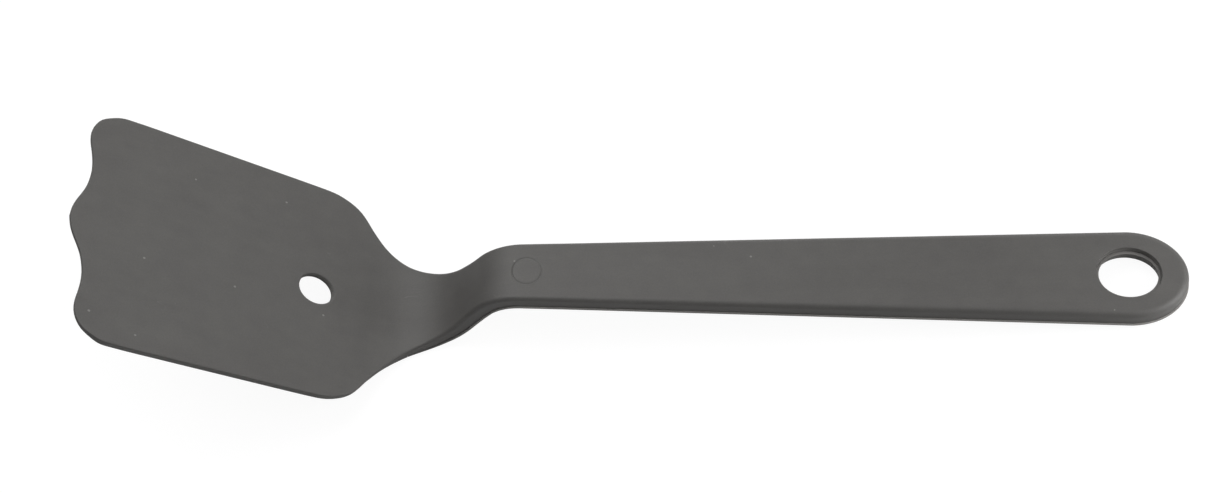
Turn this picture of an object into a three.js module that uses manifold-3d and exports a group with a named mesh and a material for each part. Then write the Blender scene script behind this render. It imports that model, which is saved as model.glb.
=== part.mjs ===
// Grill spatula: a moulded turner with a wide, thin, wave-fronted blade, a swan neck
// and a long tapering handle with an oval hanging hole. It lies as it rests on a table,
// heel and handle's end on z = 0, with the handle's end towards +x and the blade towards -x.
//
// The spatula is laid out flat first, with three coordinates held as x, y and z:
//   along  distance along the top surface from the handle's end to the blade's tip, mm
//   y      sideways distance from the symmetry plane, mm
//   depth  depth below the top surface as a share of the local thickness, 0 (top) to 1
// Each piece is built and cut there, then its vertices are carried on to the bent
// centre line: handle, shoulder bend, riser, heel bend, blade.
import * as THREE from "three";
import { mergeVertices } from "three/addons/utils/BufferGeometryUtils.js";
import Module from "manifold-3d";

const wasm = await Module();
wasm.setup();

const { degToRad, lerp, smoothstep } = THREE.MathUtils;

// ---------------------------------------------------------------- dimensions
// Millimetres, and radians for angles. Names ending in _AT, _FROM, _TO, _START and _END
// are places along the top surface, and names ending in _SHARE are depth shares.

// Centre line
const SHOULDER_START = 178.47; // where the handle's straight top ends
const SHOULDER_RADIUS = 14.67; // of the top surface
const RISER_ANGLE = degToRad(54.37); // downward slope of the riser against the handle
const RISER_LENGTH = 9.15; // straight part of the riser
const HEEL_RADIUS = 18.13; // of the top surface
const BLADE_ANGLE = degToRad(32.29); // the blade climbs towards its tip, against the handle
const TIP_AT = 317.0;
const REST_TILT = degToRad(5.15); // the handle's slope when the spatula rests on a table

const SHOULDER_END = SHOULDER_START + SHOULDER_RADIUS * RISER_ANGLE;
const HEEL_START = SHOULDER_END + RISER_LENGTH;
const HEEL_END = HEEL_START + HEEL_RADIUS * (RISER_ANGLE + BLADE_ANGLE);

// Thickness
const END_THICK = 5.3; // at the handle's end
const NECK_THICK = 4.7; // at the shoulder
const BLADE_THICK = 2.03;
const FRONT_THICK = 0.95; // at the blade's front edge
const HANDLE_TO = 173.6; // the handle tapers evenly as far as this
const THIN_FROM = 192.5; // the neck thins down to the blade
const THIN_TO = 233.6;
const BEVEL_FROM = 304; // the blade's underside is bevelled
const BEVEL_TO = 313;

// Edge radii as shares of the local thickness. Top edge: [along, share].
const TOP_FILLET = [[0, 0.38], [HANDLE_TO, 0.25], [200, 0.24], [230, 0.2], [400, 0.2]];
const LOW_FILLET = 0.13;
const FILLET_ANGLES = [0, Math.PI / 4, Math.PI / 2];

// Holes
const HANG_AT = 16.2; // centre of the hanging hole and of the handle's rounded end
const HANG_HALF_LENGTH = 8.75;
const HANG_HALF_WIDTH = 7.6;
const BLADE_HOLE_AT = 245.1;
const BLADE_HOLE_HALF_LENGTH = 5.15;
const BLADE_HOLE_HALF_WIDTH = 4.3;

// Edge radii of the holes, and draft: how much each grows all round from top to underside
const HANG_EDGE = { topRadius: 0.2, lowRadius: 0.2, draft: 0 };
const BLADE_HOLE_EDGE = { topRadius: 0.55, lowRadius: 0.25, draft: 0.1 };
const BORE_EDGE = { topRadius: 0.02, lowRadius: 0.5, draft: 1.27 };

// Underside cover
const COVER_EDGE = 0.85; // thickness at its edge
const COVER_TO = 218.0; // its front end, under the heel bend
const PIECE_GAP = 0.3;
const COVER_PROUD = 0.4; // its side stands this far outside the wall above it ...
const FLUSH_FROM = 204; // ... as far as here, then comes flush towards its front end
const JOINT_STATIONS = [-5, 60, 120, HANDLE_TO, THIN_FROM, 198, 203, 208, 213];

// The cover's collar inside the hanging hole, with its bore measured at the top face
const BORE_HALF_LENGTH = 7.59;
const BORE_HALF_WIDTH = 6.19;
const COLLAR_WALL = 1.1; // the collar's outside, beyond the moulding's hole
const COLLAR_STEP_SHARE = 0.31; // the step the collar sits under
const COLLAR_FOOT_SHARE = 0.95; // where it merges into the cover

// Hollow inside the handle, and the cover's raised panel that fits it
const CAVITY_FROM = 31.0;
const CAVITY_TO = 168.0;
const SIDE_WALL = 2.4;
const ROOF_SHARE = 0.4;
const CAVITY_FLOOR_SHARE = 0.95;
const PANEL_CLEARANCE = 0.4;
const PANEL_TOP_SHARE = 0.64;
const PANEL_FOOT_SHARE = 0.9;
const SLOT_END_RATIO = 0.7; // length against half width of the hollow's rounded ends

// Blank round inlay in the top of the handle, and its recess
const DISC_AT = 177.2;
const DISC_RADIUS = 3.97;
const DISC_THICK = 0.9;
const DISC_CHAMFER = 0.12;
const RECESS_RADIUS = 4.27;
const RECESS_DEEP = 1.2;

// Cutting tools run past the surfaces they open
const ABOVE_TOP_SHARE = -0.2;
const BELOW_UNDERSIDE_SHARE = 1.5;
const CUT_WIDTH = 100;

// Outline
const END_HALF = 13.27; // handle half width where its rounded end starts
const NECK_AT = 166.2;
const NECK_HALF = 9.03; // handle half width there

// Half outline of neck and blade: [along, half width].
const SIDE_POINTS = [
  [NECK_AT, NECK_HALF], [173.2, 8.86], [180.5, 8.66], [187.9, 8.36], [195.2, 8.16],
  [202.5, 8.84], [209.9, 10.27], [217.2, 12.98], [221.2, 15.57], [224.5, 18.53],
  [228.0, 22.61], [231.9, 27.36], [234.2, 29.12], [236.2, 30.13], [238.2, 30.88],
  [240.2, 31.42], [242.4, 31.71], [246.2, 31.93], [254.0, 32.25], [270.2, 32.85],
  [286.2, 33.44], [300.5, 33.9],
];
// Half of the blade's front edge, from its corner to near the tip: [along, y].
const FRONT_POINTS = [
  [305.07, 33.8], [308.25, 32.75], [310.9, 31.25], [312.5, 29.15], [313.3, 26.55],
  [313.22, 23.83], [312.66, 21.19], [312.2, 18.34], [312.1, 15.56], [312.48, 12.75],
  [313.2, 10.11], [314.3, 7.7], [315.55, 5.31], [316.47, 2.92], [316.85, 0.95],
];
// Steers the curve across the symmetry plane and is not itself on the outline.
const GUIDE_POINT = [TIP_AT - 0.1, -1.2];
// Spans between knots, numbered by their first knot, that are too straight to halve.
const UNDIVIDED_SPANS = [0, 1, 17, 18, 19];

// Facets
const END_SEGMENTS = 14; // quarter of the handle's rounded end
const HANDLE_SEGMENTS = 8;
const SLOT_END_SEGMENTS = 12;
const ROUND_SEGMENTS = 36; // hanging hole, collar bore, inlay and recess
const BLADE_HOLE_SEGMENTS = 26;
const COLLAR_SEGMENTS = 40;
const BEND_SLICES = 18;
const BEVEL_SLICES = [BEVEL_FROM, 306.2, 308.5, 310.8];

const NYLON = { color: 0x5f5d5a, roughness: 0.55, metalness: 0.0 };

// ---------------------------------------------------------------- thickness and centre line
function thickness(along) {
  const handle = lerp(END_THICK, NECK_THICK, Math.min(along, HANDLE_TO) / HANDLE_TO);
  return (
    handle +
    (BLADE_THICK - NECK_THICK) * smoothstep(along, THIN_FROM, THIN_TO) -
    (BLADE_THICK - FRONT_THICK) * smoothstep(along, BEVEL_FROM, BEVEL_TO)
  );
}

function topFillet(along) {
  const next = TOP_FILLET.findIndex(([at]) => at > along);
  const [from, fromShare] = TOP_FILLET[next - 1];
  const [to, toShare] = TOP_FILLET[next];
  return lerp(fromShare, toShare, (along - from) / (to - from)) * thickness(along);
}

// Point and upward normal of the top surface in the symmetry plane: x along the handle
// (0 at the hanging hole, negative towards the blade), z up.
function centreLine(along) {
  let x = HANG_AT - Math.min(along, SHOULDER_START);
  let z = 0;
  let heading = 0; // how far the path has turned downwards
  if (along > SHOULDER_START) {
    heading = (Math.min(along, SHOULDER_END) - SHOULDER_START) / SHOULDER_RADIUS;
    x -= SHOULDER_RADIUS * Math.sin(heading);
    z -= SHOULDER_RADIUS * (1 - Math.cos(heading));
  }
  if (along > SHOULDER_END) {
    const length = Math.min(along, HEEL_START) - SHOULDER_END;
    x -= length * Math.cos(RISER_ANGLE);
    z -= length * Math.sin(RISER_ANGLE);
  }
  if (along > HEEL_START) {
    heading = RISER_ANGLE - (Math.min(along, HEEL_END) - HEEL_START) / HEEL_RADIUS;
    x -= HEEL_RADIUS * (Math.sin(RISER_ANGLE) - Math.sin(heading));
    z -= HEEL_RADIUS * (Math.cos(heading) - Math.cos(RISER_ANGLE));
  }
  if (along > HEEL_END) {
    x -= (along - HEEL_END) * Math.cos(BLADE_ANGLE);
    z += (along - HEEL_END) * Math.sin(BLADE_ANGLE);
  }
  return { x, z, normalX: -Math.sin(heading), normalZ: Math.cos(heading) };
}

// Along and depth both change sense here, so faces keep facing outwards.
function bend(vertex) {
  const { x, z, normalX, normalZ } = centreLine(vertex.x);
  const below = vertex.z * thickness(vertex.x);
  vertex.set(x - below * normalX, vertex.y, z - below * normalZ);
}

// ---------------------------------------------------------------- outlines in (along, y)
function handleHalf(along) {
  return lerp(END_HALF, NECK_HALF, (along - HANG_AT) / (NECK_AT - HANG_AT));
}

function arc(centre, halfLength, halfWidth, from, to, segments, clockwise = false) {
  return new THREE.EllipseCurve(centre, 0, halfLength, halfWidth, from, to, clockwise)
    .getPoints(segments);
}

function ellipse(centre, halfLength, halfWidth, segments) {
  return arc(centre, halfLength, halfWidth, 0, 2 * Math.PI, segments).slice(0, segments);
}

// The handle's width less a wall, with rounded ends.
function slot(from, to, wall) {
  const startHalf = handleHalf(from) - wall;
  const endHalf = handleHalf(to) - wall;
  const startLength = startHalf * SLOT_END_RATIO;
  const endLength = endHalf * SLOT_END_RATIO;
  const quarter = Math.PI / 2;
  return [
    ...arc(from + startLength, startLength, startHalf, quarter, 3 * quarter, SLOT_END_SEGMENTS),
    ...arc(to - endLength, endLength, endHalf, -quarter, quarter, SLOT_END_SEGMENTS),
  ];
}

// The half with y > 0, from the handle's end to the blade's tip.
function halfOutline() {
  const points = arc(HANG_AT, HANG_AT, END_HALF, Math.PI, Math.PI / 2, END_SEGMENTS, true);
  for (let i = 1; i < HANDLE_SEGMENTS; i++) {
    const along = HANG_AT + (i / HANDLE_SEGMENTS) * (NECK_AT - HANG_AT);
    points.push(new THREE.Vector2(along, handleHalf(along)));
  }

  const knots = [...SIDE_POINTS, ...FRONT_POINTS, GUIDE_POINT].map(
    ([along, y]) => new THREE.Vector3(along, y, 0),
  );
  const spline = new THREE.CatmullRomCurve3(knots, false, "centripetal");
  const spans = knots.length - 1;
  for (let i = 0; i < spans - 1; i++) {
    const steps = UNDIVIDED_SPANS.includes(i) ? 1 : 2;
    for (let k = 0; k < steps; k++) {
      const { x, y } = spline.getPoint((i + k / steps) / spans);
      points.push(new THREE.Vector2(x, y));
    }
  }
  points.push(new THREE.Vector2(...FRONT_POINTS.at(-1)));
  points.push(new THREE.Vector2(TIP_AT, 0));
  return points;
}

// Pairs each point of a closed anticlockwise outline with its outward normal.
function withNormals(points) {
  const count = points.length;
  return points.map((point, i) => {
    const previous = points[(i + count - 1) % count];
    const tangent = points[(i + 1) % count].clone().sub(previous).normalize();
    return { point, outward: new THREE.Vector2(tangent.y, -tangent.x) };
  });
}

function wholeOutline() {
  const half = halfOutline();
  const mirrored = half.map(({ x, y }) => new THREE.Vector2(x, -y));
  return withNormals([...mirrored, ...half.slice(1, -1).reverse()]);
}

// ---------------------------------------------------------------- edge profiles
// A profile gives, at one place along, the rings of an edge from the top face to the
// underside as [inset in mm, depth share]. In a hole the inset makes the hole bigger.
function roundedProfile(along, topRadius, lowRadius, extraInset) {
  const thick = thickness(along);
  const ring = (inset, depth) => [inset + extraInset(depth), depth];
  return [
    ...FILLET_ANGLES.map((angle) =>
      ring(topRadius * (1 - Math.sin(angle)), (topRadius * (1 - Math.cos(angle))) / thick),
    ),
    ...FILLET_ANGLES.map((angle) =>
      ring(lowRadius * (1 - Math.cos(angle)), 1 - (lowRadius * (1 - Math.sin(angle))) / thick),
    ),
  ];
}

function edgeProfile(fullProud = 0) {
  return (along) => {
    const proud = fullProud * (1 - smoothstep(along, FLUSH_FROM, COVER_TO));
    return roundedProfile(along, topFillet(along), LOW_FILLET * thickness(along), () => -proud);
  };
}

function holeProfile({ topRadius, lowRadius, draft }) {
  return (along) => roundedProfile(along, topRadius, lowRadius, (depth) => draft * depth);
}

function discProfile(along) {
  return [
    [DISC_CHAMFER, 0],
    [0, DISC_CHAMFER / thickness(along)],
    [0, DISC_THICK / thickness(DISC_AT)],
  ];
}

// ---------------------------------------------------------------- solids in the flat layout
function geometryOf(positions, faces) {
  const geometry = new THREE.BufferGeometry();
  geometry.setAttribute("position", new THREE.Float32BufferAttribute(positions, 3));
  geometry.setIndex(faces);
  return geometry;
}

function solid(geometry) {
  // Only positions may count when vertices are merged.
  geometry.deleteAttribute("normal");
  geometry.deleteAttribute("uv");
  const merged = mergeVertices(geometry, 1e-4);
  return new wasm.Manifold(
    new wasm.Mesh({
      numProp: 3,
      vertProperties: new Float32Array(merged.attributes.position.array),
      triVerts: new Uint32Array(merged.index.array),
    }),
  );
}

// A long ring is cut into handle, bends and blade at mirrored points, so that no face of
// the cap runs from the handle through the bends.
function sections(ring, pointAt) {
  const count = ring.length;
  const places = ring.map((i) => pointAt(i).x);
  if (Math.max(...places) - Math.min(...places) < 200) return [ring];
  const nearest = (target) => {
    let best = 1;
    for (let i = 1; i < count / 2; i++)
      if (Math.abs(places[i] - target) < Math.abs(places[best] - target)) best = i;
    return best;
  };
  const neck = nearest(HANDLE_TO);
  const blade = nearest(THIN_TO);
  return [
    [...ring.slice(count - neck), ...ring.slice(0, neck + 1)],
    [...ring.slice(neck, blade + 1), ...ring.slice(count - blade, count - neck + 1)],
    ring.slice(blade, count - blade + 1),
  ];
}

// A plate starting at the top face, its edges shaped by profiles. The outline and the
// points of each hole carry their normals.
function plate(outline, profile, holes = []) {
  const loops = [
    { points: outline, profile, sign: -1 },
    ...holes.map((hole) => ({ ...hole, sign: 1 })),
  ];
  const positions = [];
  const faces = [];
  const topRings = [];
  const lowRings = [];
  for (const loop of loops) {
    const count = loop.points.length;
    const rings = loop.profile(loop.points[0].point.x).length;
    const base = positions.length / 3;
    for (let k = 0; k < rings; k++)
      for (const { point, outward } of loop.points) {
        const [inset, depth] = loop.profile(point.x)[k];
        const shift = loop.sign * inset;
        positions.push(point.x + shift * outward.x, point.y + shift * outward.y, depth);
      }
    for (let k = 0; k + 1 < rings; k++)
      for (let i = 0; i < count; i++) {
        const here = base + k * count + i;
        const next = base + k * count + ((i + 1) % count);
        const hereLower = here + count;
        const nextLower = next + count;
        if (loop.sign < 0) faces.push(here, next, nextLower, here, nextLower, hereLower);
        else faces.push(here, nextLower, next, here, hereLower, nextLower);
      }
    const ringFrom = (start) => Array.from({ length: count }, (_, i) => start + i);
    topRings.push(ringFrom(base));
    lowRings.push(ringFrom(base + (rings - 1) * count));
  }

  const pointAt = (i) => new THREE.Vector2(positions[3 * i], positions[3 * i + 1]);
  for (const [outer, ...inner] of [topRings, lowRings])
    for (const section of sections(outer, pointAt)) {
      const places = section.map((i) => pointAt(i).x);
      const from = Math.min(...places);
      const to = Math.max(...places);
      const openings = inner
        .filter(([first]) => from < pointAt(first).x && pointAt(first).x < to)
        .map((ring) => [...ring].reverse());
      const ids = [...section, ...openings.flat()];
      const triangles = THREE.ShapeUtils.triangulateShape(
        section.map(pointAt),
        openings.map((ring) => ring.map(pointAt)),
      );
      for (const [i, j, k] of triangles)
        if (outer === topRings[0]) faces.push(ids[i], ids[k], ids[j]);
        else faces.push(ids[i], ids[j], ids[k]);
    }
  return solid(geometryOf(positions, faces));
}

function extrude(points, depth) {
  return new THREE.ExtrudeGeometry(new THREE.Shape(points), { depth, bevelEnabled: false });
}

// A prism with an (along, y) outline from one depth share to another.
function prism(points, from, to) {
  return solid(extrude(points, to - from).translate(0, 0, from));
}

// Everything below the joint between moulding and cover, drawn in (along, depth) and
// extruded right across y. lift raises the joint above the cover's edge.
function belowJoint(lift, to) {
  const joint = [...JOINT_STATIONS, to].map((along) => [
    along,
    1 - (COVER_EDGE + lift) / thickness(Math.max(along, 0)),
  ]);
  const section = [
    ...joint,
    [to, BELOW_UNDERSIDE_SHARE],
    [JOINT_STATIONS[0], BELOW_UNDERSIDE_SHARE],
  ].map(([along, depth]) => new THREE.Vector2(along, depth));
  const block = extrude(section, CUT_WIDTH);
  block.rotateX(Math.PI / 2); // the drawn depth goes to z, the extrusion runs along -y
  return solid(block.translate(0, CUT_WIDTH / 2, 0));
}

// ---------------------------------------------------------------- finishing: slice, then bend
// Triangles that run through the bends, the thinning or the bevel are sliced at these
// places, so that the bent faces look round.
const SLICES = [...BEVEL_SLICES];
const SLICE_STEP = (THIN_TO - SHOULDER_START) / BEND_SLICES;
for (let along = SHOULDER_START; along < THIN_TO + 0.1; along += SLICE_STEP) SLICES.push(along);

const ON_SLICE = 2e-3; // vertices this near a slice count as lying on it

function sliceAt(vertices, triangles, along) {
  const sides = vertices.map(({ x }) =>
    Math.abs(x - along) < ON_SLICE ? 0 : Math.sign(x - along),
  );
  // Each edge is cut only once, so that neighbouring triangles share the new vertex.
  const cuts = new Map();
  const cutEdge = (one, other) => {
    const low = Math.min(one, other);
    const high = Math.max(one, other);
    const key = `${low}_${high}`;
    if (!cuts.has(key)) {
      const start = vertices[low];
      const end = vertices[high];
      const vertex = start.clone().lerp(end, (along - start.x) / (end.x - start.x));
      vertex.x = along;
      cuts.set(key, vertices.length);
      vertices.push(vertex);
    }
    return cuts.get(key);
  };
  return triangles.flatMap((triangle) => {
    const around = triangle.map((i) => sides[i]);
    if (!(around.includes(1) && around.includes(-1))) return [triangle];
    // The apex lies on the slice, or else alone on its side of it.
    const onSlice = around.includes(0);
    const first = onSlice
      ? around.indexOf(0)
      : around.findIndex((side, k) => side !== around[(k + 1) % 3] && side !== around[(k + 2) % 3]);
    const [apex, second, third] = [0, 1, 2].map((k) => triangle[(first + k) % 3]);
    if (onSlice) {
      const middle = cutEdge(second, third);
      return [[apex, second, middle], [apex, middle, third]];
    }
    const near = cutEdge(apex, second);
    const far = cutEdge(apex, third);
    return [[apex, near, far], [near, second, third], [near, third, far]];
  });
}

function finish(piece, name) {
  const { numProp, numVert, vertProperties, triVerts } = piece.getMesh();
  const vertices = [];
  for (let i = 0; i < numVert; i++)
    vertices.push(new THREE.Vector3().fromArray(vertProperties, i * numProp));
  let triangles = [];
  for (let i = 0; i < triVerts.length; i += 3) triangles.push([...triVerts.slice(i, i + 3)]);
  for (const along of SLICES) triangles = sliceAt(vertices, triangles, along);
  vertices.forEach(bend);

  const geometry = geometryOf(vertices.flatMap(({ x, y, z }) => [x, y, z]), triangles.flat());
  geometry.computeVertexNormals();
  const mesh = new THREE.Mesh(geometry, new THREE.MeshStandardMaterial(NYLON));
  mesh.name = name;
  return mesh;
}

// ---------------------------------------------------------------- the pieces
const ovalHole = (centre, halfLength, halfWidth, segments, edge) => ({
  points: withNormals(ellipse(centre, halfLength, halfWidth, segments)),
  profile: holeProfile(edge),
});

// The collar's outside, with a gap around it for the counterbore.
function collarOval(gap = 0) {
  const beyond = COLLAR_WALL + gap;
  return ellipse(HANG_AT, HANG_HALF_LENGTH + beyond, HANG_HALF_WIDTH + beyond, COLLAR_SEGMENTS);
}

// Main moulding: blade, neck and the upper shell of the handle. Its hanging hole is opened
// out from below for the cover's collar.
function makeMoulding(outline) {
  const whole = plate(outline, edgeProfile(), [
    ovalHole(HANG_AT, HANG_HALF_LENGTH, HANG_HALF_WIDTH, ROUND_SEGMENTS, HANG_EDGE),
    ovalHole(
      BLADE_HOLE_AT,
      BLADE_HOLE_HALF_LENGTH,
      BLADE_HOLE_HALF_WIDTH,
      BLADE_HOLE_SEGMENTS,
      BLADE_HOLE_EDGE,
    ),
  ]);
  const coverSpace = belowJoint(PIECE_GAP, COVER_TO);
  const counterbore = prism(collarOval(PIECE_GAP), COLLAR_STEP_SHARE, BELOW_UNDERSIDE_SHARE);
  const cavity = prism(slot(CAVITY_FROM, CAVITY_TO, SIDE_WALL), ROOF_SHARE, CAVITY_FLOOR_SHARE);
  const recess = prism(
    ellipse(DISC_AT, RECESS_RADIUS, RECESS_RADIUS, ROUND_SEGMENTS),
    ABOVE_TOP_SHARE,
    RECESS_DEEP / thickness(DISC_AT),
  );
  return whole.subtract(coverSpace).subtract(counterbore).subtract(cavity).subtract(recess);
}

// Underside cover: closes the handle from below and runs down the neck to the heel. A
// raised panel locates it in the handle's hollow and a collar lines the hanging hole.
function makeCover(outline) {
  const whole = plate(outline, edgeProfile(COVER_PROUD), [
    ovalHole(HANG_AT, BORE_HALF_LENGTH, BORE_HALF_WIDTH, ROUND_SEGMENTS, BORE_EDGE),
  ]);
  const collar = prism(
    collarOval(),
    COLLAR_STEP_SHARE + PIECE_GAP / thickness(HANG_AT),
    COLLAR_FOOT_SHARE,
  );
  const panel = prism(
    slot(
      CAVITY_FROM + PANEL_CLEARANCE,
      CAVITY_TO - PANEL_CLEARANCE,
      SIDE_WALL + PANEL_CLEARANCE,
    ),
    PANEL_TOP_SHARE,
    PANEL_FOOT_SHARE,
  );
  return whole.intersect(belowJoint(0, COVER_TO - PIECE_GAP).add(collar)).add(panel);
}

// Blank round inlay, flush with the top of the handle.
function makeDisc() {
  const circle = ellipse(DISC_AT, DISC_RADIUS, DISC_RADIUS, ROUND_SEGMENTS);
  return plate(withNormals(circle), discProfile);
}

const outline = wholeOutline();
const spatula = new THREE.Group();
spatula.add(
  finish(makeMoulding(outline), "blade_neck_and_handle_moulding"),
  finish(makeCover(outline), "handle_underside_cover"),
  finish(makeDisc(), "round_inlay_disc"),
);

// Laid down with its heel and handle's end on z = 0, origin under the middle.
spatula.rotation.y = REST_TILT;
spatula.updateMatrixWorld(true);
const box = new THREE.Box3().setFromObject(spatula, true);
spatula.position.set(-(box.min.x + box.max.x) / 2, 0, -box.min.z);

const part = new THREE.Group();
part.name = "grill_spatula";
part.add(spatula);

export default part;
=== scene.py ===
"""Grill spatula in dark nylon: a one-piece blade, neck and handle moulding, a cover under the
handle and a round inlay, on a pale floor in soft studio light.

It rests on the floor, z up, mirrored about y = 0. The handle's end is at +x and the blade
reaches towards -x. Every piece is shaped in sheet coordinates (along, y, depth): the distance
along the top surface from the handle's end, the distance across, and the depth below the top
surface. Lengths are millimetres until the vertices are made."""

import math
from collections import namedtuple

import bmesh
import bpy
import numpy as np
from mathutils import Matrix, Vector


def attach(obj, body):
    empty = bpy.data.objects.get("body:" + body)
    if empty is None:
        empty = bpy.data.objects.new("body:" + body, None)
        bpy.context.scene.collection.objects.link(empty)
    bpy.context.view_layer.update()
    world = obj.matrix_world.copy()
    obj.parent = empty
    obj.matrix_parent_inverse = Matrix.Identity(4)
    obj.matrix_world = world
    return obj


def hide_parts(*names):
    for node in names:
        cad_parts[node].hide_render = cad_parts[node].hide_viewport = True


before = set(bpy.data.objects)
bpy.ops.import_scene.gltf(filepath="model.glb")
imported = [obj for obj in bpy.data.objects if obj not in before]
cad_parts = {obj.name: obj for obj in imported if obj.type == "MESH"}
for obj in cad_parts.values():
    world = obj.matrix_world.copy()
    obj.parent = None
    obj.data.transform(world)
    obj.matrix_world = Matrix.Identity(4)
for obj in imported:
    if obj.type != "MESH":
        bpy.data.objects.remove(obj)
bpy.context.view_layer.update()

# ------------------------------------------------------------------ dimensions
# Side profile: straight handle, shoulder bend down, straight riser, heel bend up, straight blade
SHOULDER_FROM, SHOULDER_RADIUS = 178.47, 14.67
RISER_ANGLE, RISER_LENGTH = math.radians(54.37), 9.15
HEEL_RADIUS, BLADE_ANGLE = 18.13, math.radians(32.29)
RISER_FROM = SHOULDER_FROM + SHOULDER_RADIUS * RISER_ANGLE
HEEL_FROM = RISER_FROM + RISER_LENGTH
BLADE_FROM = HEEL_FROM + HEEL_RADIUS * (RISER_ANGLE + BLADE_ANGLE)
TIP = 317.0
REST_TILT = math.radians(5.15)  # about the y axis
SEAT = np.array([129.530446, 0.0, 6.718123])  # where the eye's centre, at the top, rests

# Thickness, and the stretches over which it changes
END_THICK, NECK_THICK, BLADE_THICK, TIP_THICK = 5.3, 4.7, 2.03, 0.95
HANDLE_TO = 173.6
THIN_FROM, THIN_TO = 192.5, 233.6
BEVEL_FROM, BEVEL_TO = 304.0, 313.0

# Oval holes: centre along the sheet, half length and half width
EYE_AT, EYE_LENGTH, EYE_WIDTH = 16.2, 8.75, 7.6
BLADE_HOLE_AT, BLADE_HOLE_LENGTH, BLADE_HOLE_WIDTH = 245.1, 5.15, 4.3

# Underside cover, and its collar standing in the eye
COVER_EDGE, COVER_TO = 0.85, 218.0
COVER_PROUD, FLUSH_FROM = 0.4, 204.0
COVER_GAP = 0.12  # from the cover's last row to the step in the moulding
SEAM = 0.03  # between moulding and cover
COLLAR_LENGTH, COLLAR_WIDTH = 7.59, 6.19  # bore half sizes, at the top surface
COLLAR_DRAFT = 1.27  # what both gain over the full thickness
COLLAR_TOP = 0.315  # share of the thickness
CAVITY_FROM, CAVITY_TO = 31.0, 168.0
ROOF = 0.4  # top of the cavity, as a share of the thickness
PANEL_INSET, PANEL_RISE = 2.5, 0.9
CAVITY_WIDTH, PANEL_WIDTH = 0.76, 0.69  # shares of the sheet's width

INLAY_AT, INLAY_RADIUS, RECESS_RADIUS = 177.2, 3.95, 3.965
# Rounded rim of inlay and recess: distance from the rim, depth
RIM_ROUND = ((0.42, 0.0), (0.34, 0.012), (0.25, 0.045), (0.1, 0.105), (0, 0.14))

# Half outline, y > 0: along, y. The sides run from the neck to the blade's corner,
END_HALF = 13.27
SIDE_POINTS = [
    (166.2, 9.03), (173.2, 8.86), (180.5, 8.66), (187.9, 8.36), (195.2, 8.16), (202.5, 8.84),
    (209.9, 10.27), (217.2, 12.98), (221.2, 15.57), (224.5, 18.53), (228.0, 22.61), (231.9, 27.36),
    (234.2, 29.12), (236.2, 30.13), (238.2, 30.88), (240.2, 31.42), (242.4, 31.71), (246.2, 31.93),
    (254.0, 32.25), (270.2, 32.85), (286.2, 33.44), (300.5, 33.9),
]
# and the blade's free edge from that corner to the middle.
TIP_POINTS = [
    (305.07, 33.8), (308.25, 32.75), (310.9, 31.25), (312.5, 29.15), (313.3, 26.55), (313.22, 23.83),
    (312.66, 21.19), (312.2, 18.34), (312.1, 15.56), (312.48, 12.75), (313.2, 10.11), (314.3, 7.7),
    (315.55, 5.31), (316.47, 2.92), (316.85, 0.95),
]
NECK_AT, NECK_HALF = SIDE_POINTS[0]
BLADE_CORNER = (309.9, 31.95)  # the grid's corner lies nearest this

COLUMNS = 64  # faces across the sheet
QUARTER_POINTS = 160  # outline points round a quarter of the handle's end


def smooth(along, start, end):
    share = np.clip((np.asarray(along, float) - start) / (end - start), 0, 1)
    return share * share * (3 - 2 * share)


def thickness(along):
    along = np.asarray(along, float)
    handle = END_THICK + (NECK_THICK - END_THICK) * np.minimum(along, HANDLE_TO) / HANDLE_TO
    return (
        handle
        + (BLADE_THICK - NECK_THICK) * smooth(along, THIN_FROM, THIN_TO)
        - (BLADE_THICK - TIP_THICK) * smooth(along, BEVEL_FROM, BEVEL_TO)
    )


def top_radius(along):
    return np.interp(along, [0, 173.6, 200, 230], [0.38, 0.25, 0.24, 0.2]) * thickness(along)


def low_radius(along):
    return 0.13 * thickness(along)


def proud(along):
    """How far the cover stands out beyond the moulding's outline."""
    return COVER_PROUD * (1 - smooth(along, FLUSH_FROM, COVER_TO))


def cover_top(along):
    return thickness(along) - COVER_EDGE


def seam(along):
    """The moulding's underside where it lies over the cover."""
    return cover_top(along) - SEAM


def collar_top(along):
    return thickness(along) * COLLAR_TOP


def fixed(value):
    return lambda along: np.full(np.shape(along), float(value))


def station(along):
    """Top surface on the symmetry plane, handle level: x, z and the upward normal's x, z."""
    along = np.asarray(along, float)
    x = EYE_AT - np.minimum(along, SHOULDER_FROM)
    z = np.zeros_like(along)
    shoulder = np.clip(along - SHOULDER_FROM, 0, RISER_FROM - SHOULDER_FROM) / SHOULDER_RADIUS
    x = x - SHOULDER_RADIUS * np.sin(shoulder)
    z = z - SHOULDER_RADIUS * (1 - np.cos(shoulder))
    run = np.clip(along - RISER_FROM, 0, RISER_LENGTH)
    x = x - run * math.cos(RISER_ANGLE)
    z = z - run * math.sin(RISER_ANGLE)
    heel = RISER_ANGLE - np.clip(along - HEEL_FROM, 0, BLADE_FROM - HEEL_FROM) / HEEL_RADIUS
    x = x - HEEL_RADIUS * (math.sin(RISER_ANGLE) - np.sin(heel))
    z = z - HEEL_RADIUS * (np.cos(heel) - math.cos(RISER_ANGLE))
    run = np.clip(along - BLADE_FROM, 0, None)
    x = x - run * math.cos(BLADE_ANGLE)
    z = z + run * math.sin(BLADE_ANGLE)
    slope = np.where(along < HEEL_FROM, shoulder, heel)
    return x, z, -np.sin(slope), np.cos(slope)


def place(points):
    """(along, y, depth) to the resting position, in mm."""
    points = np.asarray(points, float)
    x, z, normal_x, normal_z = station(points[:, 0])
    x = x - points[:, 2] * normal_x
    z = z - points[:, 2] * normal_z
    cos, sin = math.cos(REST_TILT), math.sin(REST_TILT)
    return np.stack([x * cos + z * sin, points[:, 1], -x * sin + z * cos], 1) + SEAT


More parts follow.
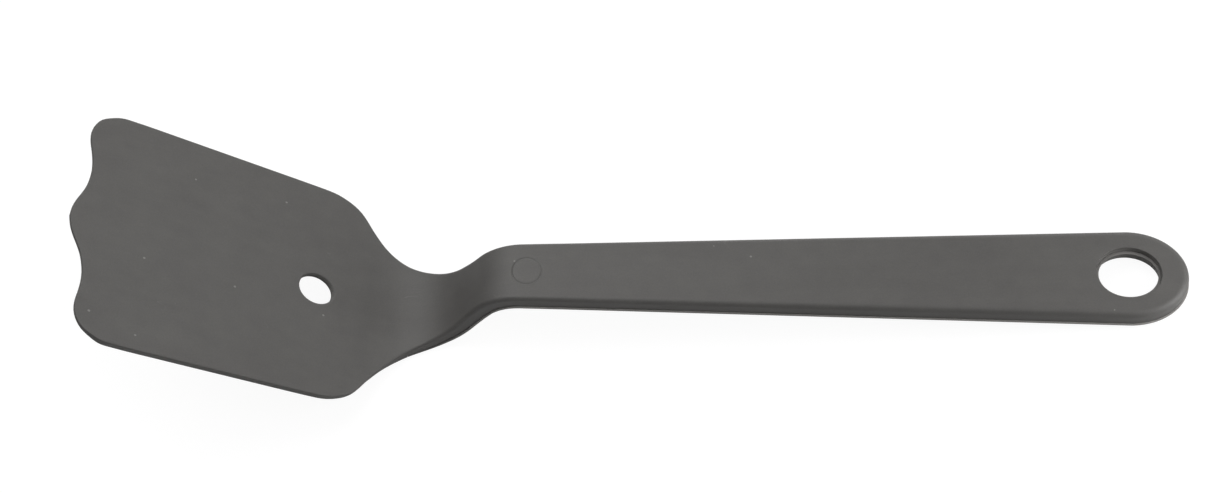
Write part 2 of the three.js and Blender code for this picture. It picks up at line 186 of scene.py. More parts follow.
# ------------------------------------------------------------------ outline
def catmull(knots, per):
    """Centripetal Catmull-Rom curve with per points to a span, less the last knot."""
    knots = np.array(knots, float)
    knots = np.vstack([2 * knots[0] - knots[1], knots, 2 * knots[-1] - knots[-2]])
    spans = []
    for i in range(1, len(knots) - 2):
        p0, p1, p2, p3 = knots[i - 1 : i + 3]
        t0, t1, t2 = [
            max(np.linalg.norm(b - a), 1e-6) ** 0.5 for a, b in ((p0, p1), (p1, p2), (p2, p3))
        ]
        start = ((p1 - p0) / t0 - (p2 - p0) / (t0 + t1) + (p2 - p1) / t1) * t1
        end = ((p2 - p1) / t1 - (p3 - p1) / (t1 + t2) + (p3 - p2) / t2) * t1
        u = np.linspace(0, 1, per, endpoint=False)[:, None]
        spans.append(
            (2 * u**3 - 3 * u**2 + 1) * p1 + (u**3 - 2 * u**2 + u) * start
            + (-2 * u**3 + 3 * u**2) * p2 + (u**3 - u**2) * end
        )
    return np.vstack(spans)


def half_outline():
    """Elliptical handle end, straight handle side, then the curve through the points."""
    turn = np.linspace(0, math.pi / 2, QUARTER_POINTS)
    end = np.stack([EYE_AT * (1 - np.cos(turn)), END_HALF * np.sin(turn)], 1)
    run = np.arange(EYE_AT + 0.6, NECK_AT - 0.1, 0.6)
    taper = (NECK_HALF - END_HALF) * (run - EYE_AT) / (NECK_AT - EYE_AT)
    side = np.stack([run, END_HALF + taper], 1)
    # the last knot lies past the middle and leads the curve across it
    rest = catmull(SIDE_POINTS + TIP_POINTS + [(TIP - 0.1, -1.2)], 16)
    cut = np.argmax((rest[:, 0] > 300) & (rest[:, 1] < 0.02))
    return np.vstack([end, side, rest[:cut], [[TIP, 0.0]]])


def outward_normals(points, lengths):
    tangent = np.gradient(points, lengths, axis=0)
    tangent[0] = (0, 1)
    tangent[-1] = (0, -1)
    kernel = np.array([1, 3, 4, 3, 1.0]) / 12
    for axis in (0, 1):
        tangent[2:-2, axis] = np.convolve(tangent[:, axis], kernel, mode="same")[2:-2]
    tangent /= np.hypot(*tangent.T)[:, None]
    return np.stack([-tangent[:, 1], tangent[:, 0]], 1)


HALF = half_outline()
HALF_ARC = np.r_[0, np.cumsum(np.hypot(*np.diff(HALF, axis=0).T))]
HALF_NORMAL = outward_normals(HALF, HALF_ARC)


def on_outline(arc):
    """Point and outward normal of the y > 0 half outline at an arc length."""
    point, normal = [
        np.stack([np.interp(arc, HALF_ARC, table[:, axis]) for axis in (0, 1)], -1)
        for table in (HALF, HALF_NORMAL)
    ]
    return point, normal / np.hypot(normal[..., 0], normal[..., 1])[..., None]


def arc_at(along):
    sides = (HALF_ARC > 30) & (HALF[:, 0] < 300)
    return np.interp(along, HALF[sides, 0], HALF_ARC[sides])


# ------------------------------------------------------------------ rows and columns
# Arc lengths of the grid's two corners with y > 0
END_CORNER = float(
    np.interp(
        math.radians(45), np.linspace(0, math.pi / 2, QUARTER_POINTS), HALF_ARC[:QUARTER_POINTS]
    )
)
TIP_CORNER = HALF_ARC[np.argmin(np.hypot(HALF[:, 0] - BLADE_CORNER[0], HALF[:, 1] - BLADE_CORNER[1]))]


def row_arcs():
    """Arc lengths of the rows along the side, closest in the bends, with a few set rows
    where the cover stops."""
    arcs = []
    stops = [arc_at(COVER_TO + offset) for offset in (-COVER_GAP, 0, 0.04)]
    arc = END_CORNER
    while arc < TIP_CORNER - 0.4:
        arcs.append(arc)
        along = float(np.interp(arc, HALF_ARC, HALF[:, 0]))
        if 171 < along < 238:
            arc += 0.62
        elif along < 36 or along > 288:
            arc += 0.9
        else:
            arc += 1.35
    arcs = [arc for arc in arcs if min(abs(arc - stop) for stop in stops) > 0.28]
    return np.array(sorted(arcs + stops + [TIP_CORNER]))


ROWS = row_arcs()
SIDE, SIDE_NORMAL = on_outline(ROWS)
STEP_ROW = int(np.argmin(abs(SIDE[:, 0] - COVER_TO)))  # the moulding's last row over the cover
COVER_LAST = int(np.argmin(abs(SIDE[:, 0] - (COVER_TO - COVER_GAP))))
ACROSS = np.linspace(-1, 1, COLUMNS + 1)
MIRROR = np.array([1.0, -1.0])


def cross_row(corner, middle, middle_normal):
    """Points and normals of a closing row, from y < 0 to y > 0, between arc lengths."""
    arc = (1 - abs(ACROSS)) * middle + abs(ACROSS) * corner
    points, normals = on_outline(arc)
    sign = np.where(ACROSS < 0, -1.0, 1.0)
    points[:, 1] *= sign
    normals[:, 1] *= sign
    normals[COLUMNS // 2] = middle_normal
    return points, normals


END, END_NORMAL = cross_row(END_CORNER, 0.0, (-1, 0))
TIP_ROW, TIP_NORMAL = cross_row(TIP_CORNER, HALF_ARC[-1], (1, 0))

# An oval opening: place and half sizes, the clear margin left round it in the grid, and rings
# of (half length, half width, depth function) going down from the upper face.
Hole = namedtuple("Hole", "at length width margin rings")


class Plate:
    """A closed, thick, bent sheet on a grid of rows (along) and columns (across).

    grow(along) pushes the outline outwards, top_round(along) and low_round(along) are the
    edge radii, top(along) and low(along, row) the depths of the two faces. last is the last
    row, closed straight across if square."""

    def __init__(self, last, grow, top_round, low_round, top, low, square=False):
        self.points, self.faces, self.count = [], [], 0
        self.last, self.square = last, square
        self.top_round, self.low_round = top_round, low_round
        self.top, self.low = top, low
        self.side_normal = SIDE_NORMAL[: last + 1]
        side = SIDE[: last + 1]
        self.side = side + grow(side[:, 0])[:, None] * self.side_normal
        self.end = END + grow(END[:, 0])[:, None] * END_NORMAL
        if square:
            along, half = self.side[-1]
            self.far = np.stack([np.full(COLUMNS + 1, along), ACROSS * half], 1)
            self.far_normal = np.zeros_like(self.far)
            self.far_normal[0] = self.side_normal[-1] * MIRROR
            self.far_normal[-1] = self.side_normal[-1]
        else:
            self.far = TIP_ROW + grow(TIP_ROW[:, 0])[:, None] * TIP_NORMAL
            self.far_normal = TIP_NORMAL
        # border loop: end row, y > 0 side, far row, y < 0 side
        self.loop = np.array(
            [(0, j) for j in range(COLUMNS + 1)]
            + [(i, COLUMNS) for i in range(1, last + 1)]
            + [(last, j) for j in range(COLUMNS - 1, -1, -1)]
            + [(i, 0) for i in range(last - 1, 0, -1)]
        ).T
        self.border = self.round_border(self.end, self.side, self.far)
        self.border_normal = self.round_border(END_NORMAL, self.side_normal, self.far_normal)

    def round_border(self, end, side, far):
        last = self.last
        return np.vstack([end, side[1:last], far[::-1], side[last - 1 : 0 : -1] * MIRROR])

    def add(self, along, y, depth):
        """Adds points and returns their indices, in the same shape."""
        along, y, depth = np.broadcast_arrays(along, y, depth)
        ids = np.arange(self.count, self.count + along.size)
        self.points.append(np.stack([along.ravel(), y.ravel(), depth.ravel()], 1))
        self.count += along.size
        return ids.reshape(along.shape)

    def quads(self, *corners):
        self.faces += np.stack(corners, -1).reshape(-1, 4).tolist()

    def strip(self, ring, following):
        """Joins two closed rings of the same length."""
        self.quads(ring, following, np.roll(following, -1), np.roll(ring, -1))

    def sheet(self, radius):
        """(along, y) of the grid whose border is pulled in by radius(along)."""
        right = self.side - radius(self.side[:, 0])[:, None] * self.side_normal
        left = right * MIRROR
        share = np.linspace(0, 1, COLUMNS + 1)[None, :, None]
        grid = left[:, None, :] * (1 - share) + right[:, None, :] * share
        arcs = ROWS[: self.last + 1]

        def bend(row, normals, i, reach, distance):
            """Carries the curve of the closing row i into the rows within reach."""
            row = row - radius(row[:, 0])[:, None] * normals
            row[0] = left[i]
            row[-1] = right[i]
            weight = np.clip(1 - distance / reach, 0, 1) ** 2
            return weight[:, None, None] * (row - grid[i])[None]

        grid += bend(self.end, END_NORMAL, 0, 30.0, arcs - ROWS[0])
        if not self.square:
            grid += bend(self.far, self.far_normal, -1, 46.0, ROWS[self.last] - arcs)
        return grid

    def rim(self, top_ids, low_ids):
        """The rounded edge between the two faces."""
        along = self.border[:, 0]
        upper, lower = self.top_round(along), self.low_round(along)
        top, low = self.top(along), self.low(along, self.loop[0])
        rings = []  # inset, depth
        for angle in np.linspace(0, math.pi / 2, 9)[1:]:
            rings.append((upper * (1 - math.sin(angle)), top + upper * (1 - math.cos(angle))))
        for share in (0.33, 0.67):
            rings.append((0 * upper, (top + upper) * (1 - share) + (low - lower) * share))
        for angle in np.linspace(0, math.pi / 2, 6)[:-1]:
            rings.append((lower * (1 - math.cos(angle)), low - lower * (1 - math.sin(angle))))
        ids = [top_ids[tuple(self.loop)]]
        for inset, depth in rings:
            points = self.border - inset[:, None] * self.border_normal
            ids.append(self.add(points[:, 0], points[:, 1], depth))
        ids.append(low_ids[tuple(self.loop)])
        for a, b in zip(ids, ids[1:]):
            self.quads(a, np.roll(a, -1), np.roll(b, -1), b)

    def build(self, name, holes, reshape_top=None, reshape_low=None, recess=None, painted_light=None):
        last = self.last
        rows = np.repeat(np.arange(last + 1)[:, None], COLUMNS + 1, 1)
        top_grid, low_grid = self.sheet(self.top_round), self.sheet(self.low_round)
        top_depth, low_depth = self.top(top_grid[..., 0]), self.low(low_grid[..., 0], rows)
        if reshape_top:
            top_depth = reshape_top(top_depth, top_grid)
        if reshape_low:
            low_depth = reshape_low(low_depth, low_grid)
        top_ids = self.add(top_grid[..., 0], top_grid[..., 1], top_depth)
        low_ids = self.add(low_grid[..., 0], low_grid[..., 1], low_depth)
        self.rim(top_ids, low_ids)
        # the two faces, less the boxes around openings
        skip_top, skip_low = np.zeros((last, COLUMNS), bool), np.zeros((last, COLUMNS), bool)
        for hole in holes:
            i0, i1, j0, j1 = self.box(top_grid, hole)
            skip_top[i0:i1, j0:j1] = skip_low[i0:i1, j0:j1] = True
        if recess:
            i0, i1, j0, j1 = self.box(top_grid, recess)
            skip_top[i0:i1, j0:j1] = True
        a, b = top_ids, low_ids
        for i in range(last):
            for j in range(COLUMNS):
                if not skip_top[i, j]:
                    self.quads(a[i, j], a[i + 1, j], a[i + 1, j + 1], a[i, j + 1])
                if not skip_low[i, j]:
                    self.quads(b[i, j], b[i, j + 1], b[i + 1, j + 1], b[i + 1, j])
        upper = (top_grid, top_depth, top_ids)
        for hole in holes:
            self.through_hole(hole, upper, (low_grid, low_depth, low_ids))
        if recess:
            self.blind_hole(recess, upper)
        return make_object(name, np.vstack(self.points), self.faces, painted_light)

    def box(self, grid, hole):
        """First and last row and column just outside a hole."""
        along = grid[:, COLUMNS // 2, 0]
        reach = hole.length + hole.margin
        i0 = max(int(np.searchsorted(along, hole.at - hole.length - hole.margin)) - 1, 1)
        i1 = int(np.searchsorted(along, hole.at + reach))
        y = grid[(i0 + i1) // 2, :, 1]
        j1 = min(int(np.searchsorted(y, hole.width + hole.margin)), COLUMNS - 1)
        return i0, i1, COLUMNS - j1, j1

    def walk(self, grid, hole):
        """Row and column indices round the hole's box."""
        i0, i1, j0, j1 = self.box(grid, hole)
        steps = (
            [(i0, j) for j in range(j0, j1)]
            + [(i, j1) for i in range(i0, i1)]
            + [(i1, j) for j in range(j1, j0, -1)]
            + [(i, j0) for i in range(i1, i0, -1)]
        )
        return tuple(np.array(steps).T)

    def approach(self, face, walk, ring):
        """Index rings from the box in a face towards a hole's ring, the box's own first."""
        grid, depths, ids = face
        outer, outer_depth = grid[walk], depths[walk]
        along, y, depth = ring
        rings = [ids[walk]]
        for step in (1, 2, 3, 4):
            share = 1 - (1 - step / 5) ** 1.35
            rings.append(
                self.add(
                    outer[:, 0] * (1 - share) + along * share,
                    outer[:, 1] * (1 - share) + y * share,
                    outer_depth * (1 - share) + depth * share,
                )
            )
        return rings

    def sink(self, hole, upper, walk):
        """Upper face and wall of an opening: its last ring, as indices and as points."""
        outer = upper[0][walk]
        angle = np.arctan2(outer[:, 1] / hole.width, (outer[:, 0] - hole.at) / hole.length)
        wall = []
        for length, width, depth in hole.rings:
            along = hole.at + length * np.cos(angle)
            wall.append((along, width * np.sin(angle), depth(along)))
        rings = self.approach(upper, walk, wall[0]) + [self.add(*ring) for ring in wall]
        for ring, following in zip(rings, rings[1:]):
            self.strip(ring, following)
        return rings[-1], wall[-1]

    def through_hole(self, hole, upper, lower):
        walk = self.walk(upper[0], hole)
        wall_end, ring = self.sink(hole, upper, walk)
        rings = self.approach(lower, walk, ring)
        for edge, following in zip(rings, rings[1:]):
            self.strip(following, edge)
        self.strip(wall_end, rings[-1])

    def blind_hole(self, hole, upper):
        floor_ring, (_, _, depth) = self.sink(hole, upper, self.walk(upper[0], hole))
        centre = int(self.add([hole.at], [0.0], [depth[0]])[0])
        for a, b in zip(floor_ring.tolist(), np.roll(floor_ring, -1).tolist()):
            self.faces.append((a, centre, b))


def make_object(name, points, faces, painted_light=None):
    """A closed, smooth-shaded mesh object. The optional last argument, a function of the
    points, fills the attribute that the material reads as painted light, a paler grey."""
    mesh = bpy.data.meshes.new(name)
    mesh.from_pydata([tuple(point) for point in place(points) / 1000.0], [], faces)
    if painted_light:
        attribute = mesh.attributes.new("painted_light", "FLOAT", "POINT")
        attribute.data.foreach_set("value", painted_light(points).astype(np.float32))
    mesh.update()
    bm = bmesh.new()
    bm.from_mesh(mesh)
    bmesh.ops.remove_doubles(bm, verts=bm.verts, dist=2e-7)
    bmesh.ops.recalc_face_normals(bm, faces=bm.faces)
    if bm.calc_volume(signed=True) < 0:
        bmesh.ops.reverse_faces(bm, faces=bm.faces)
    bm.to_mesh(mesh)
    bm.free()
    mesh.shade_smooth()
    mesh.set_sharp_from_angle(angle=math.radians(38))
    piece = bpy.data.objects.new(name, mesh)
    bpy.context.scene.collection.objects.link(piece)
    return piece


def oval(along, y, at, length, width):
    """Distance from an oval's centre, 1 on the oval itself."""
    return np.hypot((along - at) / length, y / width)


def round_over(length, width, radius, face, upper, steps):
    """Rings of a quarter round between a hole's wall and its upper or lower face."""
    rings = []
    for angle in np.linspace(0, math.pi / 2, steps):
        rise, run = radius * (1 - math.cos(angle)), radius * (1 - math.sin(angle))
        out, down = (run, rise) if upper else (rise, -run)
        rings.append((length + out, width + out, lambda along, down=down: face(along) + down))
    return rings


def mid_handle(grid, inset, width):
    """The grid points in the middle of the handle, inset from the cavity's two ends."""
    along = grid[..., 0]
    inside = (along > CAVITY_FROM + inset) & (along < CAVITY_TO - inset)
    return inside & (abs(ACROSS)[None, :] < width)


# ------------------------------------------------------------------ the moulding
def moulding_low(along, row):
    return np.where(row <= STEP_ROW, seam(along), thickness(along))


def moulding_low_radius(along):
    return np.where(np.asarray(along) < COVER_TO + 0.02, 0.05, low_radius(along))


def hollow(depth, grid):
    """The space inside the handle, above the cover."""
    return np.where(mid_handle(grid, 0, CAVITY_WIDTH), ROOF * thickness(grid[..., 0]), depth)


def hole_wall_painted_light(points):
    """Painted light: paleness of the walls of the two holes, standing in for light that reaches into
    them.
    """
    along, y, depth = points.T
    eye = oval(along, y, EYE_AT, EYE_LENGTH, EYE_WIDTH)
    blade = oval(along, y, BLADE_HOLE_AT, BLADE_HOLE_LENGTH, BLADE_HOLE_WIDTH)
    eye_wall = (abs(eye - 1) < 0.012) & (depth > 0.25)
    blade_wall = (abs(blade - 1) < 0.02) & (depth > 0.4)
    return np.where(eye_wall, 0.36, 0.0) + np.where(blade_wall, 0.2, 0.0)


def build_moulding():
    eye_rings = round_over(EYE_LENGTH, EYE_WIDTH, 0.22, fixed(0), upper=True, steps=5) + [
        (EYE_LENGTH, EYE_WIDTH, lambda along, share=share: seam(along) * share)
        for share in (0.3, 0.6, 0.85, 1)
    ]
    # the blade hole widens a little on the way down
    length, width = BLADE_HOLE_LENGTH, BLADE_HOLE_WIDTH
    blade_rings = (
        round_over(length, width, 0.6, fixed(0), upper=True, steps=7)
        + [(length + 0.02, width + 0.02, lambda along: thickness(along) * 0.6)]
        + round_over(length + 0.04, width + 0.04, 0.28, thickness, upper=False, steps=5)
    )
    radius = RECESS_RADIUS
    recess_profile = [(radius + out, depth) for out, depth in RIM_ROUND]
    recess_profile += [(radius, 0.6), (radius, 1.2), (radius * 0.66, 1.2), (radius * 0.33, 1.2)]
    recess_rings = [(ring, ring, fixed(depth)) for ring, depth in recess_profile]
    plate = Plate(
        len(ROWS) - 1, fixed(0), top_radius, moulding_low_radius, fixed(0), moulding_low
    )
    return plate.build(
        "moulding_surface",
        [
            Hole(EYE_AT, EYE_LENGTH, EYE_WIDTH, 1.5, eye_rings),
            Hole(BLADE_HOLE_AT, length, width, 2.6, blade_rings),
        ],
        reshape_low=hollow,
        recess=Hole(INLAY_AT, radius, radius, 1.2, recess_rings),
        # painted light on the walls of the two holes
        painted_light=hole_wall_painted_light,
    )


# ------------------------------------------------------------------ the underside cover
def panel(depth, grid):
    """The low raised panel that locates the cover in the handle's hollow."""
    return np.where(mid_handle(grid, PANEL_INSET, PANEL_WIDTH), depth - PANEL_RISE, depth)


def cover_painted_light(points):
    """Painted light: paleness standing in for light caught by the narrow lip that shows around
    the moulding, full there, less on the collar's top and wall in the eye."""
    along, y, depth = points.T
    level = abs(depth - cover_top(along)) < 0.08
    half = np.interp(along, SIDE[:, 0], SIDE[:, 1])
    from_eye = oval(along, y, EYE_AT, EYE_AT + COVER_PROUD, END_HALF + COVER_PROUD)
    rim = np.where(along > EYE_AT, abs(y) > half + COVER_PROUD - 0.75, from_eye > 1 - 0.75 / 14)
    in_eye = oval(along, y, EYE_AT, EYE_LENGTH, EYE_WIDTH) < 1.02
    collar = (abs(depth - collar_top(along)) < 0.05) & in_eye
    wall = in_eye & (depth > collar_top(along) + 0.06)
    fade = 1 - smooth(along, 196, 214)
    return (
        np.where(level & rim, fade, 0.0)
        + np.where(collar, 0.34, 0.0)
        + np.where(wall, 0.16, 0.0)
    )


def bore(share, extra=0.0):
    """Half sizes of the collar's drafted bore at a share of the thickness."""
    draft = COLLAR_DRAFT * share
    return COLLAR_LENGTH + draft + extra, COLLAR_WIDTH + draft + extra


def build_cover():
    collar_rings = [
        (
            EYE_LENGTH - 0.03,
            EYE_WIDTH - 0.03,
            lambda along, w=share: cover_top(along) * (1 - w) + collar_top(along) * w,
        )
        for share in (0, 0.5, 0.97)
    ]
    collar_rings += [
        (EYE_LENGTH - 0.07, EYE_WIDTH - 0.07, collar_top),
        (*bore(COLLAR_TOP, 0.12), collar_top),
        (*bore(COLLAR_TOP, 0.03), lambda along: collar_top(along) + 0.03),
        (*bore(COLLAR_TOP), lambda along: collar_top(along) + 0.12),
        (*bore(0.55), lambda along: thickness(along) * 0.55),
        (*bore(0.8), lambda along: thickness(along) * 0.8),
    ]
    collar_rings += round_over(*bore(0.9), 0.5, thickness, upper=False, steps=6)
    plate = Plate(
        COVER_LAST, proud, fixed(0.06), low_radius, cover_top,
        lambda along, row: thickness(along), square=True,
    )
    return plate.build(
        "underside_cover_surface",
        [Hole(EYE_AT, EYE_LENGTH, EYE_WIDTH, 1.5, collar_rings)],
        reshape_top=panel,
        # painted light on the cover's lip and the collar in the eye
        painted_light=cover_painted_light,
    )


# ------------------------------------------------------------------ the round inlay
def build_inlay():
    radius, sides, bottom = INLAY_RADIUS, 96, 0.9
    profile = [(radius * k / 14, 0.0) for k in range(1, 12)]
    profile += [(radius - inset, depth) for inset, depth in RIM_ROUND]
    profile += [(radius, 0.5), (radius, bottom), (radius * 0.6, bottom), (radius * 0.25, bottom)]
    angles = np.linspace(0, 2 * math.pi, sides, endpoint=False)
    points = [
        (INLAY_AT + ring * math.cos(angle), ring * math.sin(angle), depth)
        for ring, depth in profile
        for angle in angles
    ]
    top, low = len(points), len(points) + 1
    points += [(INLAY_AT, 0, 0.0), (INLAY_AT, 0, bottom)]
    faces = []
    final = (len(profile) - 1) * sides  # first point of the last ring
    for ring in range(0, final, sides):
        for i in range(sides):
            j = (i + 1) % sides
            faces.append((ring + i, ring + j, ring + sides + j, ring + sides + i))
    for i in range(sides):
        j = (i + 1) % sides
        faces.append((i, top, j))
        faces.append((final + i, final + j, low))
    return make_object("inlay_surface", np.array(points), faces)


moulding = build_moulding()
cover = build_cover()
inlay = build_inlay()


# ------------------------------------------------------------------ materials
class Shader:
    """The emptied node tree of a material or world."""

    def __init__(self, owner):
        owner.use_nodes = True
        self.tree = owner.node_tree
        self.tree.nodes.clear()

    def node(self, kind, inputs=None, **properties):
        """Adds a node. Inputs, by name or index, are sockets to link or plain values."""
        node = self.tree.nodes.new("ShaderNode" + kind)
        for key, value in properties.items():
            setattr(node, key, value)
        for key, value in (inputs or {}).items():
            if isinstance(value, bpy.types.NodeSocket):
                self.tree.links.new(value, node.inputs[key])
            else:
                node.inputs[key].default_value = value
        return node

    def math(self, operation, *values):
        return self.node("Math", dict(enumerate(values)), operation=operation).outputs[0]

    def noise(self, vector, scale, detail=3.0, roughness=0.5, distortion=0.0):
        inputs = {
            "Vector": vector, "Scale": scale, "Detail": detail,
            "Roughness": roughness, "Distortion": distortion,
        }
        return self.node("TexNoise", inputs).outputs["Fac"]

    def vary(self, value, *fields):
        """Adds (noise, gain) fields to a value, each centred on 0."""
        for field, gain in fields:
            centred = self.math("MULTIPLY", self.math("SUBTRACT", field, 0.5), gain)
            value = self.math("ADD", value, centred)
        return value

    def mix(self, factor, a, b, **properties):
        inputs = {"Factor": factor, "A": a, "B": b}
        return self.node("Mix", inputs, data_type="RGBA", **properties).outputs["Result"]

    def bump(self, height, strength, distance, **inputs):
        inputs.update(Strength=strength, Distance=distance, Height=height)
        return self.node("Bump", inputs).outputs["Normal"]


def dust_and_scratches(shader, vector):
    """How much the pale marks cover, and the scratches alone."""
    cells = shader.node(
        "TexVoronoi", {"Vector": vector, "Scale": 95}, feature="F1", voronoi_dimensions="2D"
    )
    pick = shader.node("SeparateColor", {0: cells.outputs["Color"]})
    # one cell in eight or so holds a speck, of its own size
    chosen = shader.math("GREATER_THAN", pick.outputs[0], 0.87)
    size = shader.math("MULTIPLY", pick.outputs[1], 0.016)
    near = shader.math("LESS_THAN", cells.outputs["Distance"], shader.math("ADD", size, 0.014))
    dust = shader.math("MULTIPLY", chosen, near)
    # hairlines: thin level lines of a stretched, distorted noise, broken up by another
    stretch = shader.node(
        "Mapping",
        {"Rotation": (0, 0, math.radians(28)), "Scale": (0.10, 1.0, 0.3), "Vector": vector},
    ).outputs["Vector"]
    field = shader.noise(stretch, scale=300, detail=1.0, roughness=0.4, distortion=0.15)
    off_level = shader.math("ABSOLUTE", shader.math("SUBTRACT", field, 0.52))
    line = shader.math("LESS_THAN", off_level, 0.0020)
    gate = shader.math("GREATER_THAN", shader.noise(vector, scale=70, detail=1.0), 0.66)
    scratch = shader.math("MULTIPLY", shader.math("MULTIPLY", line, gate), 0.09)
    marks = shader.math("MAXIMUM", shader.math("MULTIPLY", dust, 0.42), scratch)
    return marks, scratch


def nylon(name, shade, roughness, seed, specks=False, painted_light=False):
    """Moulded nylon: dark warm grey with faint mottling and a fine grain. specks adds pale
    dust and hairline scratches; the last flag mixes in painted light, a paler grey, where the mesh's
    attribute marks it."""
    base = tuple(value * shade for value in (0.0965, 0.0935, 0.0895))
    material = bpy.data.materials.new(name)
    shader = Shader(material)
    vector = shader.node(
        "Mapping",
        {
            "Location": (seed * 0.37, seed * 0.11, seed * 0.23),
            "Vector": shader.node("TexCoord").outputs["Object"],
        },
    ).outputs["Vector"]
    broad = shader.noise(vector, scale=55, detail=2.0)
    patch = shader.noise(vector, scale=210, detail=3.0, roughness=0.55)
    grain = shader.noise(vector, scale=2600, detail=2.0, roughness=0.6)
    # long faint streaks along the moulding
    stretch = shader.node("Mapping", {"Scale": (0.12, 1.0, 0.6), "Vector": vector})
    flow = shader.noise(stretch.outputs["Vector"], scale=260, detail=3.0, roughness=0.6)

    # brightness, with a slight drift of hue in green and blue
    value = shader.vary(1.0, (broad, 0.13), (patch, 0.20), (flow, 0.18), (grain, 0.34))
    tint = shader.node(
        "CombineColor",
        {
            0: value,
            1: shader.math("MULTIPLY", value, shader.vary(1.0, (broad, 0.015))),
            2: shader.math("MULTIPLY", value, shader.vary(1.0, (patch, -0.02))),
        },
    ).outputs[0]
    color = shader.mix(1.0, (*base, 1.0), tint, blend_type="MULTIPLY")
    roughness = shader.vary(roughness, (patch, 0.10), (grain, 0.08))

    if specks:
        marks, scratch = dust_and_scratches(shader, vector)
        color = shader.mix(marks, color, (0.34, 0.335, 0.325, 1.0))
        roughness = shader.math("ADD", roughness, shader.math("MULTIPLY", scratch, 0.15))
    if painted_light:
        # painted light: where the mesh's attribute says, the colour turns to a grey 3.3 times paler,
        # lighting the cover's lip, the collar and the hole walls
        painted_light_share = shader.node("Attribute", attribute_name="painted_light").outputs["Fac"]
        color = shader.mix(painted_light_share, color, (*(value * 3.3 for value in base), 1.0))

    fine = shader.noise(vector, scale=1500, detail=3.0, roughness=0.6)
    normal = shader.bump(fine, strength=0.35, distance=0.00002)
    normal = shader.bump(broad, strength=0.5, distance=0.00006, Normal=normal)
    surface = shader.node(
        "BsdfPrincipled",
        {
            "Base Color": color, "Roughness": roughness, "IOR": 1.5,
            "Specular IOR Level": 0.42, "Normal": normal,
        },
    )
    shader.node("OutputMaterial", {"Surface": surface.outputs["BSDF"]})
    return material


# piece, CAD node it replaces, slot and material name, look
PIECES = (
    (moulding, "blade_neck_and_handle_moulding", "nylon_moulding",
     dict(shade=1.0, roughness=0.52, seed=1.0, specks=True, painted_light=True)),
    (cover, "handle_underside_cover", "nylon_cover",
     dict(shade=0.97, roughness=0.54, seed=5.0, painted_light=True)),
    (inlay, "round_inlay_disc", "nylon_inlay", dict(shade=1.02, roughness=0.50, seed=9.0)),
)
for piece, node_name, slot, look in PIECES:
    material = nylon(slot, **look)
    piece.data.materials.append(material)
    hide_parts(node_name)
    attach(piece, "root")
    # the CAD node underneath gets the same finish
    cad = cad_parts[node_name]
    cad.data.materials.clear()
    cad.data.materials.append(material)


# ------------------------------------------------------------------ floor
def floor_paper():
    """Lights the object as a pale matt sheet, but the camera sees it burnt out to near
    white with a faint shadow left."""
    glow_strength, shadow_grey = 0.93, 0.13
    material = bpy.data.materials.new("floor_paper")
    shader = Shader(material)
    ramp = shader.node("ValToRGB", {"Fac": shader.node("TexNoise", {"Scale": 40}).outputs["Fac"]})
    ramp.color_ramp.elements[0].color = (0.79, 0.79, 0.79, 1)
    ramp.color_ramp.elements[1].color = (0.81, 0.81, 0.805, 1)
    sheet = shader.node("BsdfDiffuse", {"Color": ramp.outputs["Color"]})
    glow = shader.node("Emission", {"Color": (1, 1, 1, 1), "Strength": glow_strength})
    faint = shader.node("BsdfDiffuse", {"Color": (shadow_grey, shadow_grey, shadow_grey, 1)})
    burnt = shader.node("AddShader", {0: glow.outputs[0], 1: faint.outputs[0]})
    camera_ray = shader.node("LightPath").outputs["Is Camera Ray"]
    pick = shader.node("MixShader", {0: camera_ray, 1: sheet.outputs[0], 2: burnt.outputs[0]})
    shader.node("OutputMaterial", {"Surface": pick.outputs[0]})
    return material


def build_floor():
    mesh = bpy.data.meshes.new("floor")
    bm = bmesh.new()
    bmesh.ops.create_circle(bm, cap_ends=True, segments=96, radius=14.0)
    bm.to_mesh(mesh)
    bm.free()
    floor = bpy.data.objects.new("floor", mesh)
    floor.location = (0, 0, -0.0002)
    bpy.context.scene.collection.objects.link(floor)
    mesh.materials.append(floor_paper())


build_floor()


# ------------------------------------------------------------------ light, in metres
def build_world():
    """Gives no light; the camera sees a pale grey."""
    world = bpy.data.worlds.new("studio")
    bpy.context.scene.world = world
    shader = Shader(world)
    ambient = shader.node("Background", {"Color": (1, 1, 1, 1), "Strength": 0.0})
    seen = shader.node("Background", {"Color": (0.945, 0.945, 0.945, 1), "Strength": 1.0})
    camera_ray = shader.node("LightPath").outputs["Is Camera Ray"]
    pick = shader.node("MixShader", {0: camera_ray, 1: ambient.outputs[0], 2: seen.outputs[0]})
    shader.node("OutputWorld", {"Surface": pick.outputs[0]})


def diffuser(name, location, direction, size, watts):
    """A round area light, hidden from the camera."""
    data = bpy.data.lights.new(name, "AREA")
    data.shape = "DISK"
    data.size = size
    data.energy = watts
    light = bpy.data.objects.new(name, data)
    light.location = location
    light.rotation_euler = direction.to_track_quat("-Z", "Y").to_euler()
    light.visible_camera = False
    bpy.context.scene.collection.objects.link(light)


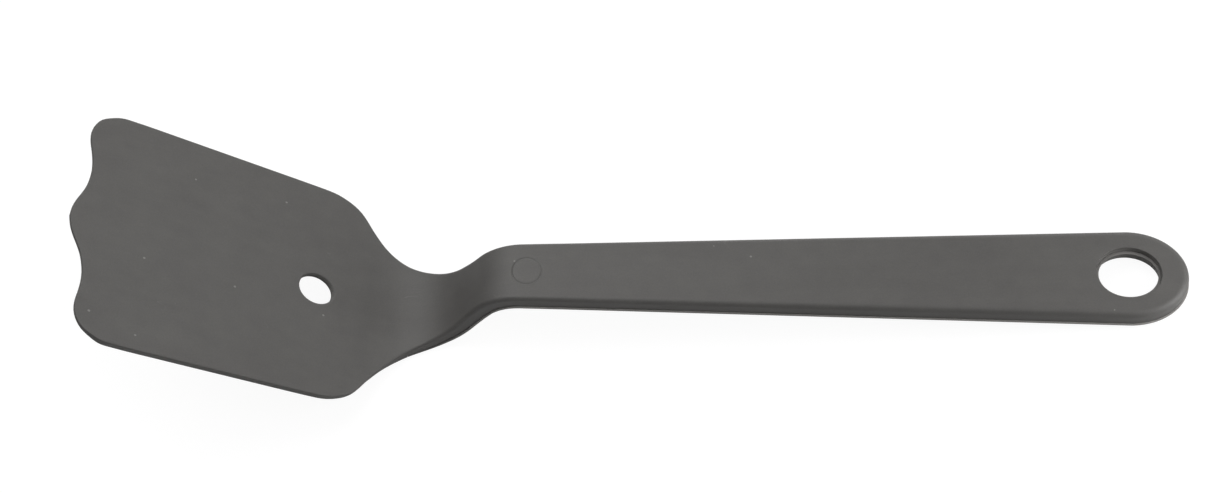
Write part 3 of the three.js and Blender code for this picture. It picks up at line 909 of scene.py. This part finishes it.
build_world()

SOFTBOX_SIZE, SOFTBOX_DISTANCE, SOFTBOX_AIM = 1.1, 1.6, Vector((0, 0, 0.03))
# name, azimuth from +x and elevation in degrees, watts
SOFTBOXES = (
    ("top_back", 120, 70, 7.0),
    ("end", 0, 24, 6.8),
    ("front_end", 330, 48, 5.0),
    ("top_front", 300, 70, 1.2),
    ("back_blade", 150, 48, 5.8),
    ("back_end", 60, 24, 3.3),
    ("back_low", 90, 10, 7.2),
    ("front_blade", 210, 48, 0.9),
)
for name, azimuth, elevation, watts in SOFTBOXES:
    turn, lift = math.radians(azimuth), math.radians(elevation)
    away = Vector(
        (math.cos(lift) * math.cos(turn), math.cos(lift) * math.sin(turn), math.sin(lift))
    )
    diffuser(name, away * SOFTBOX_DISTANCE + SOFTBOX_AIM, -away, SOFTBOX_SIZE, watts)

# Small diffusers close by: name, location, target, size, watts
CARDS = (
    ("end_card", (0.225, -0.035, 0.035), (0.145, -0.002, 0.012), 0.05, 0.07),
    ("neck_card", (-0.045, 0.03, 0.2), (-0.045, 0, 0.01), 0.15, 0.058),
)
for name, location, target, size, watts in CARDS:
    diffuser(name, location, Vector(target) - Vector(location), size, watts)

scene = bpy.context.scene
scene.view_settings.view_transform = "Standard"
scene.view_settings.look = "None"
scene.view_settings.exposure = 0.0
scene.view_settings.gamma = 1.0


# ------------------------------------------------------------------ camera
def build_camera():
    """Looks down at the object from -y; the rotation is given by the camera's own axes."""
    data = bpy.data.cameras.new("camera")
    data.sensor_width = 36.0
    data.lens = 91.187
    data.clip_start = 0.01
    data.clip_end = 50
    camera = bpy.data.objects.new("camera", data)
    right = Vector((0.996313, 0.000337, -0.085795))
    up = Vector((0.043254, 0.861635, 0.505681))
    back = Vector((0.074094, -0.507528, 0.858444))
    matrix = Matrix((right, up, back)).transposed().to_4x4()
    matrix.translation = Vector((51.689, -410.814, 726.947)) / 1000.0
    camera.matrix_world = matrix
    scene.collection.objects.link(camera)
    scene.camera = camera


build_camera()
